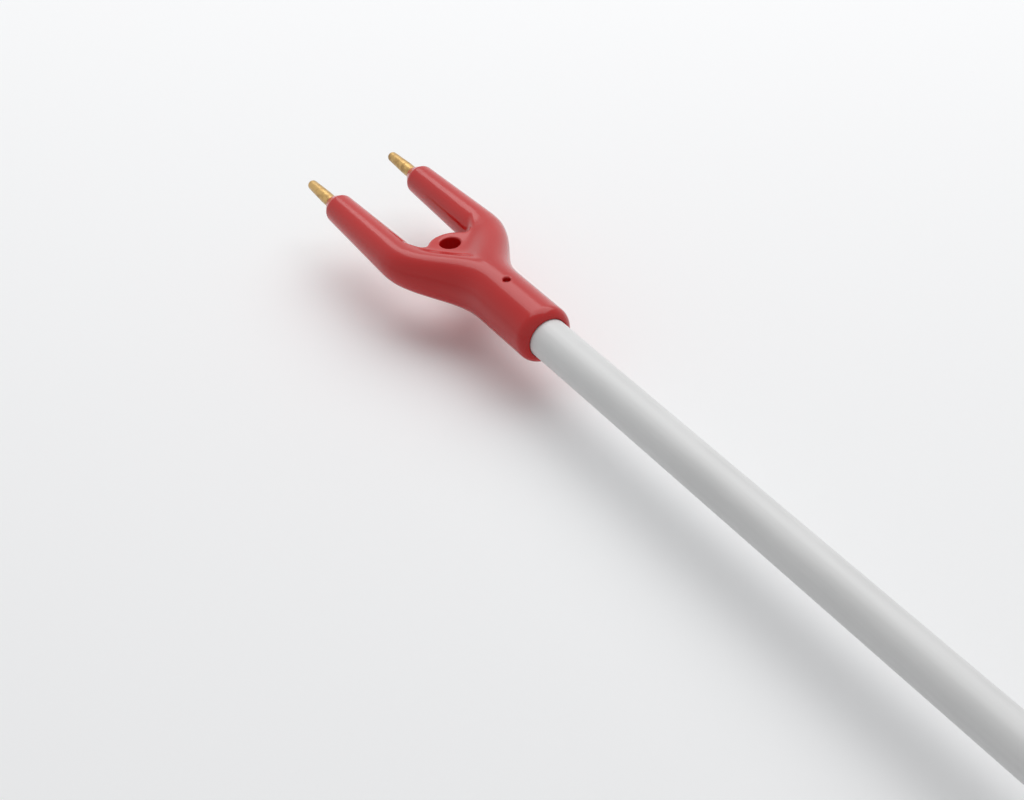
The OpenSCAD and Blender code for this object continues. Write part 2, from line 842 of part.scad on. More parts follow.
module front_contact() {
    color(brass) union() {
        bar_x(x_contact, x_bay_end, contact_r);
        box([x_contact, -tab_w / 2, board_z], [x_circuit + tab_l, tab_w / 2, board_z + strip_t]);
    }
}

module return_strip() {
    end = x_circuit + board_rear - board_gap;
    color(brass) union() {
        box([x_strip, strip_y, -strip_w / 2], [end, strip_y + strip_t, strip_w / 2]);
        box([x_strip, strip_y, -strip_w / 2], [x_spigot, strip_y + strip_flange, strip_w / 2]);
        box([x_circuit + board_gap, strip_y - strip_tab_w, board_z],
            [end, strip_y + strip_t, board_z + strip_t]);
        box([x_circuit + board_gap, strip_y - strip_tab_w, board_z],
            [x_circuit + tab_l, bay_w - board_gap, board_z + strip_t]);
    }
}

module cap_contact() {
    color(brass) difference() {
        bar_x(x_cup, x_strip, cup_r);
        bar_x(x_cup + cup_t, x_strip + over, cup_r - cup_t);
    }
}

module cap_spring() {
    color(steel) translate([x_cup + cup_t + fit, 0, 0]) rotate([0, 90, 0])
        coil(spring_room - play, cap_spring_wide_r, cap_spring_narrow_r, cap_spring_wire_r,
            cap_spring_turns);
}

module battery_cap() {
    color(black_plastic) difference() {
        union() {
            translate([x_cap, 0, 0]) rotate([0, 90, 0]) rotate_extrude() union() {
                translate([0, cap_round]) square([cap_r, cap_l - cap_round]);
                square([cap_r - cap_round, cap_l]);
                translate([cap_r - cap_round, cap_round]) circle(cap_round);
            }
            side_plate(eye_t) union() {
                translate([eye_r, 0]) circle(eye_r);
                translate([eye_r, -eye_r]) square([eye_l - eye_r + bite, 2 * eye_r]);
            }
        }
        bar_x(x_cup, x_shell + over, spigot_r + play);
        bar_y(eye_r, 0, -eye_t, eye_t, eye_hole_d / 2);
        for (i = [0 : flute_count - 1]) rotate([360 * i / flute_count, 0, 0])
            translate([0, 0, cap_r + flute_r - flute_depth])
                bar_x(x_cap + flute_gap, x_shell - flute_gap, flute_r);
    }
}

module cap_seal() {
    color(black_plastic) translate([seal_at, 0, 0]) rotate([0, 90, 0]) rotate_extrude()
        translate([spigot_r - seal_sink + fit, 0]) circle(seal_r);
}

place() fork_body();
place() electrode_left();
place() electrode_right();
place() fork_pin();
place() shaft_tube();
place() shaft_plug();
place() lead_left();
place() lead_right();
place() shaft_ferrule();
place() ferrule_pin();
place() handle_left();
place() handle_right();
place() handle_screws();
place() thumb_lever();
place() lever_pin();
place() lever_spring();
place() switch_body();
place() switch_plunger();
place() circuit_board();
place() transformer();
place() capacitor();
place() cell_1();
place() cell_2();
place() cell_3();
place() cell_4();
place() front_contact();
place() return_strip();
place() cap_contact();
place() cap_spring();
place() battery_cap();
place() cap_seal();
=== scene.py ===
import json
import math
from types import SimpleNamespace

import bmesh
import bpy
from mathutils import Matrix, Vector


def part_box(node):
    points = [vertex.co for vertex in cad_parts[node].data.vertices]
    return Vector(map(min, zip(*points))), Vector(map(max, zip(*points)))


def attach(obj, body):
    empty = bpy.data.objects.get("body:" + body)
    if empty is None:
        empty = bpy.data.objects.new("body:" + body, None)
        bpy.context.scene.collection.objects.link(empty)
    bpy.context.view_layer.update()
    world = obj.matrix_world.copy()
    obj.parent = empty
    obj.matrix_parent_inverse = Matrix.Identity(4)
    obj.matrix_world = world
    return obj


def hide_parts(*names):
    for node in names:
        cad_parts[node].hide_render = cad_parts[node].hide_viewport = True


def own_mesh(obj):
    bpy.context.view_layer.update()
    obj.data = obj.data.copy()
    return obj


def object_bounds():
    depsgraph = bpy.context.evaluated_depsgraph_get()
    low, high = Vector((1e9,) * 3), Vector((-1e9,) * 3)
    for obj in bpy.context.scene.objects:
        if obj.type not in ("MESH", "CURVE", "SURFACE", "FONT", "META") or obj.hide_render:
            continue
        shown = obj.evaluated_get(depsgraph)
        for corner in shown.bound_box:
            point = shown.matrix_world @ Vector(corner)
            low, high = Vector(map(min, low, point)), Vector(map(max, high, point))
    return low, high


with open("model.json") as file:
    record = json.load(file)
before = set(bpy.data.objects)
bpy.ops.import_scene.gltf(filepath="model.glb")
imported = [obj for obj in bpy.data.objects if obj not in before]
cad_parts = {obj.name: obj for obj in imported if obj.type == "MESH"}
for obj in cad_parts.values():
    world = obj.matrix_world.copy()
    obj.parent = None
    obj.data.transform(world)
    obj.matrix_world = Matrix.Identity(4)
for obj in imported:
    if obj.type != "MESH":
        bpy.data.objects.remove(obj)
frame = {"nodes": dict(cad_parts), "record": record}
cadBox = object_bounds()
nodes = frame["nodes"]
mm = 0.001


# places along the tube in mm from the rear end of the object, read from the solids
def along(node, end):
    return (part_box(node)[end].x - cadBox[0].x) / mm


def middle(node):
    low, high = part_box(node)
    return (low + high) / 2


axisStart = Vector((cadBox[0].x, 0, middle("shaft_tube").z))
floorLevel = -axisStart.z / mm
collarAt = along("fork_body", 0)
prongEnd = along("fork_body", 1) - collarAt
capFront = along("battery_cap", 1)
shellFront = along("handle_left", 1)
pivotAt, pivotHeight = [(middle("lever_pin") - axisStart)[i] / mm for i in (0, 2)]


class Term:
    # one socket of a node tree: sums and products of terms add Math nodes

    def __init__(self, tree, socket=None):
        self.tree = tree
        self.socket = socket

    # any node: its settings first, then the values or links of its inputs
    def add(self, kind, settings=None, inputs=None, out=0):
        node = self.tree.nodes.new(kind)
        for name, value in (settings or {}).items():
            setattr(node, name, value)
        for name, value in (inputs or {}).items():
            if isinstance(value, Term):
                self.tree.links.new(value.socket, node.inputs[name])
            else:
                node.inputs[name].default_value = value
        return None if out is None else Term(self.tree, node.outputs[out])

    def math(self, operation, *values):
        return self.add("ShaderNodeMath", {"operation": operation}, dict(enumerate(values)))

    def __add__(self, other):
        return self.math("ADD", self, other)

    def __radd__(self, other):
        return self.math("ADD", other, self)

    def __sub__(self, other):
        return self.math("SUBTRACT", self, other)

    def __rsub__(self, other):
        return self.math("SUBTRACT", other, self)

    def __mul__(self, other):
        return self.math("MULTIPLY", self, other)

    def __rmul__(self, other):
        return self.math("MULTIPLY", other, self)

    def __truediv__(self, other):
        return self.math("DIVIDE", self, other)

    def __rtruediv__(self, other):
        return self.math("DIVIDE", other, self)

    def __pow__(self, other):
        return self.math("POWER", self, other)

    def __abs__(self):
        return self.math("ABSOLUTE", self)

    def __neg__(self):
        return self.math("MULTIPLY", self, -1.0)

    def vector(self, operation, inputs, out="Vector"):
        return self.add("ShaderNodeVectorMath", {"operation": operation}, inputs, out)

    def parts(self):
        first = self.add("ShaderNodeSeparateXYZ", {}, {0: self})
        return [Term(self.tree, socket) for socket in first.socket.node.outputs]

    # 0 before low, 1 after high, eased between
    def ease(self, low, high, kind="SMOOTHSTEP"):
        return self.add("ShaderNodeMapRange", {"interpolation_type": kind}, {0: self, 1: low, 2: high})

    def softEase(self, low, high):
        return self.ease(low, high, "SMOOTHERSTEP")

    def noise(self, scale, detail=2.0, stretch=(1.0, 1.0, 1.0)):
        where = self.vector("MULTIPLY", {0: self, 1: stretch})
        return self.add("ShaderNodeTexNoise", {}, {"Vector": where, "Scale": scale, "Detail": detail})

    # this term is the share of the second colour
    def colours(self, first, second):
        return self.add("ShaderNodeMix", {"data_type": "RGBA"}, {0: self, 6: first, 7: second}, 2)

    # this term is a height in units of depth
    def bump(self, depth):
        return self.add("ShaderNodeBump", {}, {"Height": self, "Distance": depth, "Strength": 1.0})


def least(a, b, blend=None):
    term = a if isinstance(a, Term) else b
    return term.math("MINIMUM", a, b) if blend is None else term.math("SMOOTH_MIN", a, b, blend)


def most(a, b, blend=None):
    term = a if isinstance(a, Term) else b
    return term.math("MAXIMUM", a, b) if blend is None else term.math("SMOOTH_MAX", a, b, blend)


def within(value, low, high):
    return most(low - value, value - high)


def clampTo(value, low, high):
    return least(most(value, low), high)


def distanceTo(a, b, c=None):
    square = a * a + b * b
    if c is not None:
        square = square + c * c
    return square.math("SQRT", square)


def blendTo(a, b, share):
    return a + (b - a) * share


# inside both, with a true round of that radius on the edge between them
def roundedEdge(a, b, radius):
    corner = distanceTo(most(a + radius, 0.0), most(b + radius, 0.0))
    return corner + least(most(a + radius, b + radius), 0.0) - radius


# Node trees: named inputs that come back as terms, and one output
def newTree(name, inputs):
    tree = bpy.data.node_groups.new(name, "GeometryNodeTree")
    for label, kind in inputs.items():
        tree.interface.new_socket(label, in_out="INPUT", socket_type=kind)
    given = tree.nodes.new("NodeGroupInput").outputs
    return tree, {label: Term(tree, given[label]) for label in inputs}


def giveOut(tree, label, kind, term):
    tree.interface.new_socket(label, in_out="OUTPUT", socket_type=kind)
    tree.links.new(term.socket, tree.nodes.new("NodeGroupOutput").inputs[label])
    return tree


# the last nodes of every tree that makes a piece
def giveMesh(tree, shape, finish):
    real = shape.add("GeometryNodeRealizeInstances", {}, {"Geometry": shape})
    done = real.add("GeometryNodeSetMaterial", {}, {"Geometry": real, "Material": finish})
    return giveOut(tree, "Geometry", "NodeSocketGeometry", done)


def addObject(name, data):
    made = bpy.data.objects.new(name, data)
    bpy.context.scene.collection.objects.link(made)
    return made


# Moulded pieces: a distance in mm, meshed on a grid and then pulled onto its own surface
def distanceTree(name, sizes, build):
    tree, take = newTree(name, {"Point": "NodeSocketVector", **dict.fromkeys(sizes, "NodeSocketFloat")})
    x, y, z = take.pop("Point").parts()
    return giveOut(tree, "Distance", "NodeSocketFloat", build(x, y, z, SimpleNamespace(**take)))


mouldInputs = {
    "Low corner": "NodeSocketVector",
    "High corner": "NodeSocketVector",
    "Cells X": "NodeSocketInt",
    "Cells Y": "NodeSocketInt",
    "Cells Z": "NodeSocketInt",
    "Axis start": "NodeSocketVector",
    "Finish": "NodeSocketMaterial",
}


def mouldTree(name, sizes, build):
    distance = distanceTree(name + " distance", sizes, build)
    tree, take = newTree(name, {**mouldInputs, **dict.fromkeys(sizes, "NodeSocketFloat")})
    start = Term(tree)
    place = start.add("GeometryNodeInputPosition")
    fromAxis = start.vector("SUBTRACT", {0: place, 1: take["Axis start"]})
    point = start.vector("SCALE", {0: fromAxis, "Scale": 1 / mm})

    def measured(where):
        values = {"Point": where, **{label: take[label] for label in sizes}}
        return start.add("GeometryNodeGroup", {"node_tree": distance}, values)

    level, outside = 0.5, -1.0              # densities on the surface and beyond the grid
    reach, leastSteep = 0.04, 0.25          # step in mm for the slope, and the least square of a slope
    grid = start.add("GeometryNodeVolumeCube", {}, {
        "Density": level - measured(point), "Background": outside,
        "Min": take["Low corner"], "Max": take["High corner"],
        "Resolution X": take["Cells X"], "Resolution Y": take["Cells Y"], "Resolution Z": take["Cells Z"]})
    skin = start.add("GeometryNodeVolumeToMesh", {"resolution_mode": "GRID"},
                     {"Volume": grid, "Threshold": level})
    slopes = []
    for axis in range(3):
        step = [reach if i == axis else 0.0 for i in range(3)]
        ahead = measured(start.vector("ADD", {0: point, 1: step}))
        behind = measured(start.vector("SUBTRACT", {0: point, 1: step}))
        slopes.append((ahead - behind) / (2 * reach))
    slope = start.add("ShaderNodeCombineXYZ", {}, dict(enumerate(slopes)))
    steepness = most(start.vector("DOT_PRODUCT", {0: slope, 1: slope}, "Value"), leastSteep)
    pull = start.vector("SCALE", {0: slope, "Scale": measured(point) / steepness * -mm})
    pulled = start.add("GeometryNodeSetPosition", {}, {"Geometry": skin, "Offset": pull})
    smooth = start.add("GeometryNodeSetShadeSmooth", {}, {"Geometry": pulled})
    return giveMesh(tree, smooth, take["Finish"])


# turns a tree into a plain mesh object; values go by the names of its inputs, points feed its geometry
def grow(name, tree, values, points=()):
    piece = addObject(name, bpy.data.meshes.new(name))
    piece.data.from_pydata(points, [], [])
    modifier = piece.modifiers.new("grow", "NODES")
    modifier.node_group = tree
    for item in tree.interface.items_tree:
        if item.name in values:
            modifier[item.identifier] = values[item.name]
    graph = bpy.context.evaluated_depsgraph_get()
    mesh = bpy.data.meshes.new_from_object(piece.evaluated_get(graph), depsgraph=graph)
    piece.modifiers.clear()
    piece.data = mesh
    mesh.name = name
    print(" ", name, len(mesh.polygons), "faces")
    return piece


gridMargin = 1      # room in mm that a grid leaves past the ends of its piece


# low and high are corners of the grid in mm from start, step is the distance between its points
def mould(name, tree, sizes, low, high, step, finish, start=axisStart):
    counts = [int((b - a) / step) + 1 for a, b in zip(low, high)]
    top = [a + (count - 1) * step for a, count in zip(low, counts)]
    return grow(name, tree, {
        "Low corner": start + Vector(low) * mm, "High corner": start + Vector(top) * mm, "Axis start": start,
        "Cells X": counts[0], "Cells Y": counts[1], "Cells Z": counts[2], "Finish": finish, **sizes})


sharpBend = math.radians(35)        # edges of turned pieces that bend more stay sharp


# a turned piece: radii over places along X, closed into a ring or onto the axis
def turn(name, outline, y, finish, sides=96):
    piece = addObject(name, bpy.data.meshes.new(name))
    form = bmesh.new()
    turns = [2 * math.pi * i / sides for i in range(sides)]
    spokes = [Vector((0, math.cos(a), math.sin(a))) for a in turns]
    rings = []
    for x, radius in outline:
        centre = axisStart + Vector((x, y, 0)) * mm
        if radius == 0:
            rings.append([form.verts.new(centre)] * sides)
        else:
            rings.append([form.verts.new(centre + spoke * radius * mm) for spoke in spokes])
    hollow = all(radius > 0 for x, radius in outline)
    for first, second in zip(rings, rings[1:] + rings[:1] if hollow else rings[1:]):
        for i in range(sides):
            corners = [first[i], first[i - 1], second[i - 1], second[i]]
            form.faces.new(list(dict.fromkeys(corners)))
    bmesh.ops.recalc_face_normals(form, faces=form.faces)
    for face in form.faces:
        face.smooth = True
    for edge in form.edges:
        if len(edge.link_faces) == 2 and edge.calc_face_angle() > sharpBend:
            edge.smooth = False
    form.to_mesh(piece.data)
    form.free()
    piece.data.materials.append(finish)
    print(" ", name, len(piece.data.polygons), "faces")
    return piece


# points on a round between two directions, in degrees: 0 is along X, 90 is outwards
def roundPoints(x, radius, size, first, last, count=6):
    turns = [math.radians(first + (last - first) * i / count) for i in range(count + 1)]
    return [(x + size * math.cos(a), radius + size * math.sin(a)) for a in turns]


def stand(piece, body, slot, *replaced):
    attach(piece, body)
    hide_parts(*replaced)


# Finishes
def makeFinish(name, fixed, build):
    material = bpy.data.materials.new(name)
    material.use_nodes = True
    tree = material.node_tree
    tree.nodes.clear()
    shader = tree.nodes.new("ShaderNodeBsdfPrincipled")
    output = tree.nodes.new("ShaderNodeOutputMaterial")
    tree.links.new(shader.outputs[0], output.inputs["Surface"])
    for socket, value in fixed.items():
        shader.inputs[socket].default_value = value
    where = Term(tree).add("ShaderNodeTexCoord", {}, {}, "Object")
    for socket, term in build(where).items():
        tree.links.new(term.socket, shader.inputs[socket])
    return material


# a range is the part of a noise over which one tone turns into the other; depths are in metres
redPlastic = {
    "deep": (0.49, 0.007, 0.007, 1), "bright": (0.54, 0.011, 0.010, 1), "cloudScale": 25.0,
    "gloss": 0.17, "glossSpread": 0.05, "smearScale": 60.0, "smearStretch": (0.35, 1.0, 1.0),
    "range": (0.3, 0.7), "peelScale": 700.0, "peelDepth": 0.00001,
}


def redLook(where):
    cloud = where.noise(redPlastic["cloudScale"], detail=3.0)
    smear = where.noise(redPlastic["smearScale"], detail=4.0, stretch=redPlastic["smearStretch"])
    return {
        "Base Color": cloud.ease(*redPlastic["range"]).colours(redPlastic["deep"], redPlastic["bright"]),
        "Roughness": redPlastic["gloss"] + smear.ease(*redPlastic["range"]) * redPlastic["glossSpread"],
        "Normal": where.noise(redPlastic["peelScale"]).bump(redPlastic["peelDepth"]),
    }


whiteTube = {
    "pale": (0.66, 0.66, 0.655, 1), "clean": (0.72, 0.72, 0.715, 1), "range": (0.3, 0.7), "cloudScale": 40.0,
    "cloudShare": 0.5, "gloss": 0.36, "glossSpread": 0.1, "glossRange": (0.35, 0.7), "streakScale": 500.0,
    "streakStretch": (0.02, 1.0, 1.0), "streakDepth": 0.000008,
}


def tubeLook(where):
    streak = where.noise(whiteTube["streakScale"], detail=3.0, stretch=whiteTube["streakStretch"])
    cloud = where.noise(whiteTube["cloudScale"], detail=3.0)
    tone = blendTo(streak, cloud, whiteTube["cloudShare"]).ease(*whiteTube["range"])
    return {
        "Base Color": tone.colours(whiteTube["pale"], whiteTube["clean"]),
        "Roughness": whiteTube["gloss"] + cloud.ease(*whiteTube["glossRange"]) * whiteTube["glossSpread"],
        "Normal": streak.bump(whiteTube["streakDepth"]),
    }


brass = {
    "bright": (0.53, 0.34, 0.125, 1), "dull": (0.33, 0.205, 0.08, 1), "gloss": 0.32, "glossSpread": 0.2,
    "tarnishScale": 420.0, "tarnishRange": (0.42, 0.68), "turningScale": 2600.0,
    "turningStretch": (1.0, 0.03, 0.03), "turningDepth": 0.000006,
}


def brassLook(where):
    tarnish = where.noise(brass["tarnishScale"], detail=5.0).ease(*brass["tarnishRange"])
    turning = where.noise(brass["turningScale"], detail=1.0, stretch=brass["turningStretch"])
    return {
        "Base Color": tarnish.colours(brass["bright"], brass["dull"]),
        "Roughness": brass["gloss"] + tarnish * brass["glossSpread"],
        "Normal": turning.bump(brass["turningDepth"]),
    }


blackPlastic = {
    "low": (0.010, 0.0105, 0.011, 1), "high": (0.020, 0.021, 0.022, 1), "cloudScale": 90.0,
    "range": (0.3, 0.7), "gloss": 0.42, "glossSpread": 0.16, "grainScale": 2200.0, "grainDepth": 0.00003,
}


def blackLook(where):
    grain = where.noise(blackPlastic["grainScale"])
    cloud = where.noise(blackPlastic["cloudScale"], detail=3.0).ease(*blackPlastic["range"])
    return {
        "Base Color": cloud.colours(blackPlastic["low"], blackPlastic["high"]),
        "Roughness": blackPlastic["gloss"] + grain * blackPlastic["glossSpread"],
        "Normal": grain.bump(blackPlastic["grainDepth"]),
    }


zincSteel = {
    "bright": (0.62, 0.63, 0.64, 1), "dull": (0.40, 0.40, 0.41, 1), "cloudScale": 700.0,
    "range": (0.35, 0.7), "gloss": 0.28, "glossSpread": 0.2,
}


def steelLook(where):
    cloud = where.noise(zincSteel["cloudScale"], detail=4.0).ease(*zincSteel["range"])
    return {
        "Base Color": cloud.colours(zincSteel["bright"], zincSteel["dull"]),
        "Roughness": zincSteel["gloss"] + cloud * zincSteel["glossSpread"],
    }


# pieces inside the handle: two tones, a gloss and the scale of their mottling
innerFinishes = {
    "seal_rubber": ("sealRubber", (0.012, 0.012, 0.012, 1), (0.03, 0.03, 0.03, 1), 0.6, 900.0),
    "lead_red": ("redLead", (0.33, 0.01, 0.012, 1), (0.42, 0.02, 0.02, 1), 0.4, 500.0),
    "lead_black": ("blackLead", (0.012, 0.012, 0.013, 1), (0.028, 0.028, 0.03, 1), 0.4, 500.0),
    "plunger_red": ("redPlunger", (0.33, 0.01, 0.012, 1), (0.42, 0.02, 0.02, 1), 0.4, 700.0),
    "potting": ("pottingResin", (0.014, 0.014, 0.016, 1), (0.035, 0.035, 0.04, 1), 0.36, 260.0),
}
mottle = {"range": (0.35, 0.65), "glossSpread": 0.15, "grainRatio": 3.0, "grainDepth": 0.00001}


def innerLook(first, second, gloss, scale):
    def build(where):
        cloud = where.noise(scale, detail=4.0).ease(*mottle["range"])
        return {
            "Base Color": cloud.colours(first, second),
            "Roughness": gloss + cloud * mottle["glossSpread"],
            "Normal": where.noise(scale * mottle["grainRatio"]).bump(mottle["grainDepth"]),
        }
    return build


board = {
    "mask": (0.012, 0.085, 0.03, 1), "trace": (0.035, 0.17, 0.065, 1), "tin": (0.52, 0.50, 0.46, 1),
    "pitch": 1.27, "run": 7.0, "traceHalf": 0.2, "traceShare": 0.5, "padRadius": 0.36, "padShare": 0.85,
    "soft": 0.05, "chanceSoft": 0.01, "faceRange": (0.44, 0.48), "gloss": 0.3, "glossSpread": 0.1,
    "mottleScale": 400.0, "copperDepth": 0.00004,
}


# traces run along both faces for random lengths, and tinned pads sit on some points of the grid
def boardLook(where):
    low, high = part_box("circuit_board")
    fromMiddle = where.parts()[2] - (low.z + high.z) / 2
    face = (abs(fromMiddle) / (high.z - low.z)).ease(*board["faceRange"])
    grid = where.vector("SCALE", {0: where, "Scale": 1 / (board["pitch"] * mm)})
    u, v = grid.vector("FRACTION", {0: grid}).parts()[:2]
    chances = []
    for stretch in ((1 / board["run"], 1.0, 0.0), (1.0, 1.0, 0.0)):
        square = grid.vector("FLOOR", {0: grid.vector("MULTIPLY", {0: grid, 1: stretch})})
        chances.append(grid.add("ShaderNodeTexWhiteNoise", {}, {"Vector": square}))
    line = 1.0 - abs(v - 0.5).ease(board["traceHalf"], board["traceHalf"] + board["soft"])
    dot = 1.0 - distanceTo(u - 0.5, v - 0.5).ease(board["padRadius"], board["padRadius"] + board["soft"])
    trace = face * line * chances[0].ease(board["traceShare"], board["traceShare"] + board["chanceSoft"])
    pad = face * dot * chances[1].ease(board["padShare"], board["padShare"] + board["chanceSoft"])
    return {
        "Base Color": pad.colours(trace.colours(board["mask"], board["trace"]), board["tin"]),
        "Roughness": board["gloss"] + where.noise(board["mottleScale"]) * board["glossSpread"],
        "Metallic": pad,
        "Normal": most(trace, pad).bump(board["copperDepth"]),
    }


sleeve = {
    "plain": (0.015, 0.028, 0.10, 1), "stripe": (0.42, 0.45, 0.50, 1), "stripeHalf": 1.1, "soft": 0.2,
    "gloss": 0.24, "glossSpread": 0.15, "smearScale": 500.0, "grainScale": 900.0, "grainDepth": 0.00001,
}


def sleeveLook(where):
    aside = abs((where.parts()[1] - middle("capacitor").y) / mm)
    stripe = 1.0 - aside.ease(sleeve["stripeHalf"], sleeve["stripeHalf"] + sleeve["soft"])
    return {
        "Base Color": stripe.colours(sleeve["plain"], sleeve["stripe"]),
        "Roughness": sleeve["gloss"] + where.noise(sleeve["smearScale"], detail=3.0) * sleeve["glossSpread"],
        "Normal": where.noise(sleeve["grainScale"]).bump(sleeve["grainDepth"]),
    }


cell = {
    "dark": (0.010, 0.010, 0.012, 1), "copper": (0.40, 0.20, 0.07, 1), "bare": (0.52, 0.52, 0.53, 1),
    "copperFrom": 0.70, "bareEnd": 0.03, "soft": 0.005, "gloss": 0.22, "glossSpread": 0.2,
    "smearScale": 250.0,
}


# each cell has a dark jacket with a copper end and bare rims
def cellLook(where):
    first, second = [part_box(name)[0].x for name in ("cell_1", "cell_2")]
    share = (where.parts()[0] - first) / (second - first)
    share = share.math("FRACT", share)
    copper = share.ease(cell["copperFrom"], cell["copperFrom"] + cell["soft"])
    rimFrom = 0.5 - cell["bareEnd"]
    rim = abs(share - 0.5).ease(rimFrom, rimFrom + cell["soft"])
    return {
        "Base Color": rim.colours(copper.colours(cell["dark"], cell["copper"]), cell["bare"]),
        "Roughness": cell["gloss"] + where.noise(cell["smearScale"], detail=4.0) * cell["glossSpread"],
        "Metallic": most(copper, rim),
    }


redShine = {"Specular IOR Level": 0.31, "Coat Weight": 0.1, "Coat Roughness": 0.05}
finishes = {
    "red_plastic": makeFinish("redPlastic", redShine, redLook),
    "white_tube": makeFinish("whiteTube", {"Specular IOR Level": 0.5}, tubeLook),
    "brass": makeFinish("tarnishedBrass", {"Metallic": 1.0}, brassLook),
    "black_plastic": makeFinish("blackPlastic", {"Specular IOR Level": 0.28}, blackLook),
    "steel": makeFinish("zincSteel", {"Metallic": 1.0}, steelLook),
    "board_green": makeFinish("boardGreen", {}, boardLook),
    "capacitor_sleeve": makeFinish("capacitorSleeve", {}, sleeveLook),
    "cell_jacket": makeFinish("cellJacket", {}, cellLook),
}
for slot, (name, *look) in innerFinishes.items():
    finishes[slot] = makeFinish(name, {}, innerLook(*look))
for part in frame["record"]["subparts"]:
    mesh = nodes[part["node"]].data
    mesh.materials.clear()
    mesh.materials.append(finishes[part["material_slot"]])
print("finishes:", len(finishes))


# The fork: arms that spread from the barrel, a web between them, and two tapered prongs
fork = {
    "collar": collarAt, "barrelRadius": 8.6, "collarRound": 4.0, "collarCut": 0.4, "socketRadius": 6.05,
    "socketDepth": 27.5, "spreadStart": 24.5, "spreadEnd": 63.0, "prongOffset": 14.5, "rootRadius": 6.1,
    "noseRadius": 4.75, "noseStart": prongEnd - 4.5, "noseFlat": 2.4, "prongEnd": prongEnd, "midRound": 1.6,
    "dipStart": 30.0, "dipEnd": 54.5, "lugHalf": 4.1, "lugAt": 53.4, "lugFront": 59.5, "lugFrontRadius": 7.0,
    "crotch": 55.5, "sagStart": 36.0, "sagEnd": 56.0, "sag": 0.35, "notch": 3.0, "flow": 2.4,
    "flowStart": 22.0, "flowEnd": 36.0, "leastBlend": 0.02, "leastOffset": 0.01, "runOut": 12.0,
    "wallInset": 1.6, "wallBack": 4.0, "holeRadius": 3.15, "dimpleAt": 21.2, "dimpleRadius": 1.15,
    "dimpleFloor": 7.0, "pinRadius": 2.05, "pinBack": prongEnd - 23.5, "edge": 1.0, "rim": 0.7,
    "noseRim": 0.25,
}
forkGrid = {"halfWidth": 21.5, "halfHeight": 10, "step": 0.38}


def forkDistance(x, y, z, f):
    s = x - f.collar
    spread = s.softEase(f.spreadStart, f.spreadEnd)
    armOffset = spread * f.prongOffset
    side = distanceTo(y, f.midRound * spread ** 0.5)
    taper = clampTo((s - f.crotch) / (f.noseStart - f.crotch), 0.0, 1.0)
    armRadius = blendTo(f.barrelRadius, f.rootRadius, spread) - (f.rootRadius - f.noseRadius) * taper
    fromArm = distanceTo(side - armOffset, z)
    web = blendTo(armRadius, f.lugHalf, s.softEase(f.dipStart, f.dipEnd))
    drop = (armRadius - web) * f.sag * s.ease(f.sagStart, f.sagEnd)
    runOut = s.ease(f.crotch, f.crotch + f.runOut)
    soft = (drop + f.flow * s.ease(f.flowStart, f.flowEnd)) * (1.0 - runOut) + f.leastBlend
    swell = most(soft - drop, 0.0) ** 3.0 / (6.0 * soft * soft)    # what the soft union adds to the arms
    saddle = blendTo(web, armRadius - drop - swell, side.ease(0.0, most(armOffset, f.leastOffset)))
    eye = distanceTo(s - (f.lugFront - f.lugFrontRadius), y) - f.lugFrontRadius
    wall = armOffset - armRadius + f.wallInset + f.wallBack * runOut - side
    front = least(least(eye, s - f.crotch, f.notch), wall, f.notch)
    plate = roundedEdge(distanceTo(most(side - armOffset, 0.0), z) - saddle, front, f.edge)
    body = least(fromArm - armRadius + swell, plate, soft)
    body = most(roundedEdge(body, -s - f.collarCut, f.collarRound), -s)
    slant = (f.noseRadius - f.noseFlat) / (f.prongEnd - f.noseStart)
    cone = (fromArm - f.noseFlat - slant * (f.prongEnd - s)) / (1.0 + slant * slant) ** 0.5
    body = most(most(body, cone, f.noseRim), s - f.prongEnd, f.noseRim)
    cuts = [
        most(distanceTo(y, z) - f.socketRadius, s - f.socketDepth),
        distanceTo(s - f.lugAt, y) - f.holeRadius,
        most(distanceTo(s - f.dimpleAt, y) - f.dimpleRadius, f.dimpleFloor - z),
        most(fromArm - f.pinRadius, f.pinBack - s),
    ]
    for cut in cuts:
        body = most(body, -cut, f.rim)
    return body


forkPiece = mould("fork", mouldTree("moulded fork", fork, forkDistance), fork,
                  (collarAt - gridMargin, -forkGrid["halfWidth"], -forkGrid["halfHeight"]),
                  (collarAt + prongEnd + gridMargin, forkGrid["halfWidth"], forkGrid["halfHeight"]),
                  forkGrid["step"], finishes["red_plastic"])
stand(forkPiece, "handle", "red_plastic", "fork_body")

# Turned pieces: electrodes, tube and ferrule
electrode = {
    "radius": 2.0, "tipRadius": 1.6, "tipFrom": 84, "tipSteps": 12, "straightShare": 0.3, "sides": 48,
}
electrodeEnd = along("electrode_left", 1)
electrodeBack = along("electrode_left", 0)
noseAt = collarAt + prongEnd
coneStart = noseAt + electrode["straightShare"] * (electrodeEnd - noseAt)
tip = roundPoints(electrodeEnd - electrode["tipRadius"], 0, electrode["tipRadius"], electrode["tipFrom"], 0,
                  electrode["tipSteps"])
electrodeLine = [(electrodeBack, 0), (electrodeBack, electrode["radius"]), (noseAt, electrode["radius"]),
                 (coneStart, electrode["radius"])]
electrodeLine += tip[:-1] + [(electrodeEnd, 0)]
for name, sign in (("electrode_left", 1), ("electrode_right", -1)):
    piece = turn(name + "_turned", electrodeLine, sign * fork["prongOffset"], finishes["brass"],
                 electrode["sides"])
    stand(piece, "handle", "brass", name)

